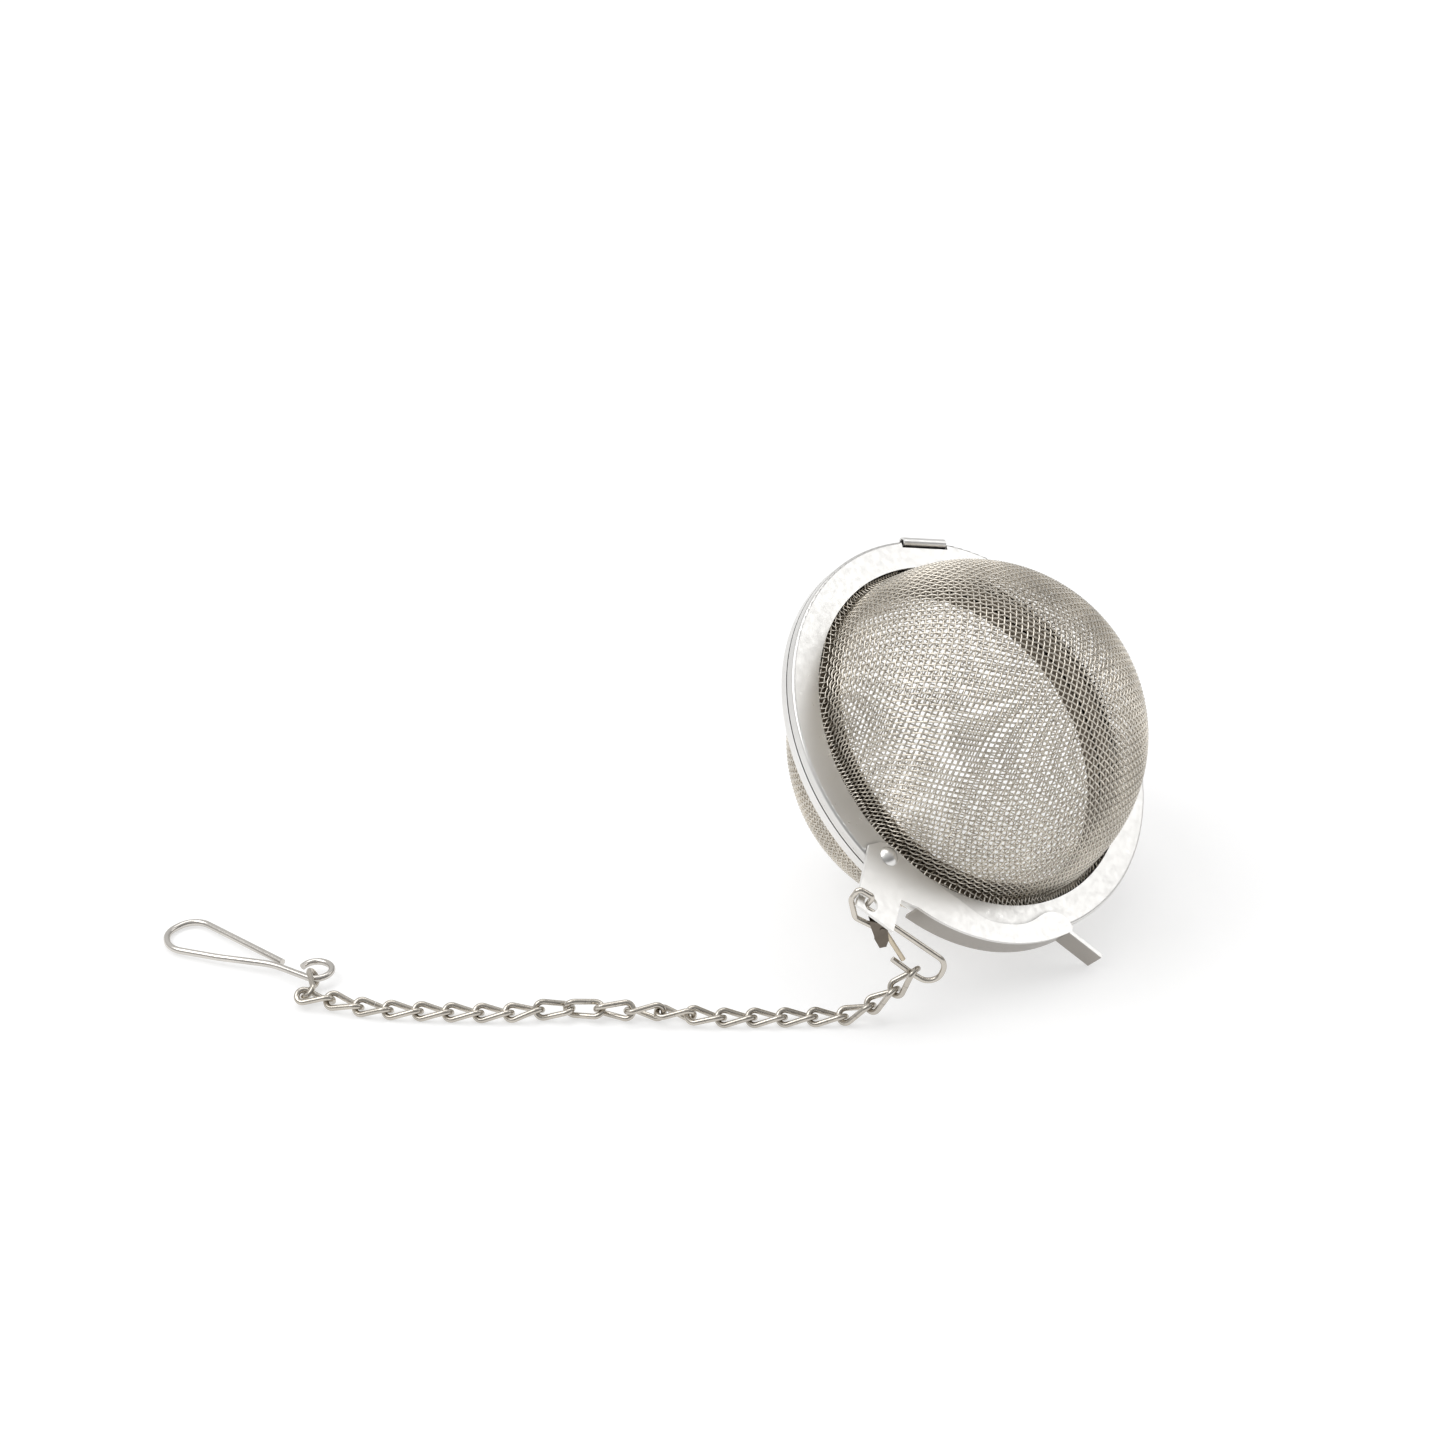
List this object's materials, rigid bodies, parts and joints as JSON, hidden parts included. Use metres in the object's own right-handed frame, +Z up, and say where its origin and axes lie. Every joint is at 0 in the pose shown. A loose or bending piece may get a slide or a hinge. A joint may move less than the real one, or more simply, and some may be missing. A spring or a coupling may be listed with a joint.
{
  "type": "tea infuser",
  "caption": "Latching mesh ball tea infuser: two woven wire domes in sheet steel rims, with a latch lever, snap clip, twisted curb chain and hanging hook.",
  "frame": {"origin": "centre of the footprint, at table height", "axes": "+X from the hanging hook at the far end of the chain to the ball, +Y away from the side with the chain, +Z up"},
  "size_m": [0.1379, 0.0616, 0.0507],
  "materials": {
    "rim_steel": "polished",
    "mesh_wire": "bright drawn wire",
    "ring_steel": "satin",
    "lever_steel": "polished",
    "rivet_steel": "polished",
    "clip_wire": "bright nickel",
    "sleeve_steel": "satin",
    "gate_wire": "bright nickel",
    "chain_steel": "bright nickel",
    "hook_wire": "bright nickel"
  },
  "bodies": {
    "back_half": {"back_rim": "rim_steel", "back_mesh": "mesh_wire", "back_retaining_ring": "ring_steel"},
    "front_half": {"front_rim": "rim_steel", "front_mesh": "mesh_wire", "front_retaining_ring": "ring_steel", "latch_rivet": "rivet_steel"},
    "latch": {"latch_lever": "lever_steel"},
    "clip": {"snap_clip": "clip_wire", "clip_sleeve": "sleeve_steel", "gate_pin": "sleeve_steel"},
    "gate": {"clip_gate": "gate_wire"},
    "link_01": {"chain_link_01": "chain_steel"},
    "link_02": {"chain_link_02": "chain_steel"},
    "link_03": {"chain_link_03": "chain_steel"},
    "link_04": {"chain_link_04": "chain_steel"},
    "link_05": {"chain_link_05": "chain_steel"},
    "link_06": {"chain_link_06": "chain_steel"},
    "link_07": {"chain_link_07": "chain_steel"},
    "link_08": {"chain_link_08": "chain_steel"},
    "link_09": {"chain_link_09": "chain_steel"},
    "link_10": {"chain_link_10": "chain_steel"},
    "link_11": {"chain_link_11": "chain_steel"},
    "link_12": {"chain_link_12": "chain_steel"},
    "link_13": {"chain_link_13": "chain_steel"},
    "link_14": {"chain_link_14": "chain_steel"},
    "link_15": {"chain_link_15": "chain_steel"},
    "link_16": {"chain_link_16": "chain_steel"},
    "link_17": {"chain_link_17": "chain_steel"},
    "link_18": {"chain_link_18": "chain_steel"},
    "link_19": {"chain_link_19": "chain_steel"},
    "link_20": {"chain_link_20": "chain_steel"},
    "link_21": {"chain_link_21": "chain_steel"},
    "link_22": {"chain_link_22": "chain_steel"},
    "hook": {"hanging_hook": "hook_wire"}
  },
  "joints": [
    {"name": "rim_hinge", "type": "hinge", "parent": "back_half", "child": "front_half", "pos_m": [0.03729, 0.02522, 0.04425], "axis": [-0.8213, -0.4792, 0.3096], "range_deg": [0, 110]},
    {"name": "latch_pivot", "type": "hinge", "parent": "front_half", "child": "latch", "pos_m": [0.03112, -0.02127, 0.02164], "axis": [-0.5278, 0.432, -0.7314], "range_deg": [0, 40]},
    {"name": "clip_swing", "type": "hinge", "parent": "latch", "child": "clip", "pos_m": [0.02756, -0.02896, 0.01998], "axis": [0, 1, 0], "range_deg": [0, 20]},
    {"name": "gate_pivot", "type": "hinge", "parent": "clip", "child": "gate", "pos_m": [0.03036, -0.02896, 0.01548], "axis": [0, -1, 0], "range_deg": [0, 12]},
    {"name": "link_01_joint", "type": "hinge", "parent": "clip", "child": "link_01", "pos_m": [0.03484, -0.029, 0.00846], "axis": [0, 0, 1], "range_deg": [-13, 15]},
    {"name": "link_02_joint", "type": "hinge", "parent": "link_01", "child": "link_02", "pos_m": [0.03219, -0.02903, 0.00531], "axis": [0.014, -0.9999, 0], "range_deg": [-14, 15]},
    {"name": "link_03_joint", "type": "hinge", "parent": "link_02", "child": "link_03", "pos_m": [0.02897, -0.02907, 0.00273], "axis": [0, 0, -1], "range_deg": [-14, 15]},
    {"name": "link_04_joint", "type": "hinge", "parent": "link_03", "child": "link_04", "pos_m": [0.02523, -0.02905, 0.001], "axis": [-0.0216, 0.9998, 0], "range_deg": [-15, 2]},
    {"name": "link_05_joint", "type": "hinge", "parent": "link_04", "child": "link_05", "pos_m": [0.02112, -0.02914, 0.001], "axis": [0, 0, 1], "range_deg": [-15, 15]},
    {"name": "link_06_joint", "type": "hinge", "parent": "link_05", "child": "link_06", "pos_m": [0.017, -0.02923, 0.001], "axis": [0.0167, -0.9999, 0], "range_deg": [-15, 15]},
    {"name": "link_07_joint", "type": "hinge", "parent": "link_06", "child": "link_07", "pos_m": [0.01288, -0.0293, 0.001], "axis": [0, 0, -1], "range_deg": [-15, 15]},
    {"name": "link_08_joint", "type": "hinge", "parent": "link_07", "child": "link_08", "pos_m": [0.00876, -0.0293, 0.001], "axis": [0.0238, 0.9997, 0], "range_deg": [-15, 15]},
    {"name": "link_09_joint", "type": "hinge", "parent": "link_08", "child": "link_09", "pos_m": [0.00466, -0.0292, 0.00139], "axis": [0, 0, 1], "range_deg": [-13, 15]},
    {"name": "link_10_joint", "type": "hinge", "parent": "link_09", "child": "link_10", "pos_m": [0.00056, -0.0288, 0.00162], "axis": [-0.0701, -0.9975, 0], "range_deg": [-13, 6]},
    {"name": "link_11_joint", "type": "hinge", "parent": "link_10", "child": "link_11", "pos_m": [-0.00355, -0.02851, 0.00162], "axis": [0, 0, -1], "range_deg": [-8, 8]},
    {"name": "link_12_joint", "type": "hinge", "parent": "link_11", "child": "link_12", "pos_m": [-0.00766, -0.02822, 0.00162], "axis": [0.0701, 0.9975, 0], "range_deg": [-14, 14]},
    {"name": "link_13_joint", "type": "hinge", "parent": "link_12", "child": "link_13", "pos_m": [-0.01177, -0.02793, 0.00162], "axis": [0, 0, 1], "range_deg": [-14, 5]},
    {"name": "link_14_joint", "type": "hinge", "parent": "link_13", "child": "link_14", "pos_m": [-0.01588, -0.02808, 0.00142], "axis": [0.0448, -0.999, 0], "range_deg": [-10, 6]},
    {"name": "link_15_joint", "type": "hinge", "parent": "link_14", "child": "link_15", "pos_m": [-0.01998, -0.02827, 0.00106], "axis": [0, 0, -1], "range_deg": [-15, 15]},
    {"name": "link_16_joint", "type": "hinge", "parent": "link_15", "child": "link_16", "pos_m": [-0.0241, -0.02818, 0.001], "axis": [0.0353, 0.9994, 0], "range_deg": [-15, 15]},
    {"name": "link_17_joint", "type": "hinge", "parent": "link_16", "child": "link_17", "pos_m": [-0.02822, -0.02803, 0.001], "axis": [0, 0, 1], "range_deg": [-15, 15]},
    {"name": "link_18_joint", "type": "hinge", "parent": "link_17", "child": "link_18", "pos_m": [-0.03233, -0.02778, 0.001], "axis": [-0.0777, -0.997, 0], "range_deg": [-15, 15]},
    {"name": "link_19_joint", "type": "hinge", "parent": "link_18", "child": "link_19", "pos_m": [-0.03644, -0.02746, 0.001], "axis": [0, 0, -1], "range_deg": [-15, 15]},
    {"name": "link_20_joint", "type": "hinge", "parent": "link_19", "child": "link_20", "pos_m": [-0.04049, -0.02671, 0.001], "axis": [0.2807, 0.9598, 0], "range_deg": [-15, 15]},
    {"name": "link_21_joint", "type": "hinge", "parent": "link_20", "child": "link_21", "pos_m": [-0.04443, -0.02556, 0.0013], "axis": [0, 0, 1], "range_deg": [-15, 15]},
    {"name": "link_22_joint", "type": "hinge", "parent": "link_21", "child": "link_22", "pos_m": [-0.04755, -0.02453, 0.00159], "axis": [-0.9936, 0.1132, 0], "range_deg": [-15, 8]},
    {"name": "hook_swing", "type": "hinge", "parent": "link_22", "child": "hook", "pos_m": [-0.04709, -0.02044, 0.00175], "axis": [-0.433, 0.25, 0.866], "range_deg": [-15, 15]}
  ]
}
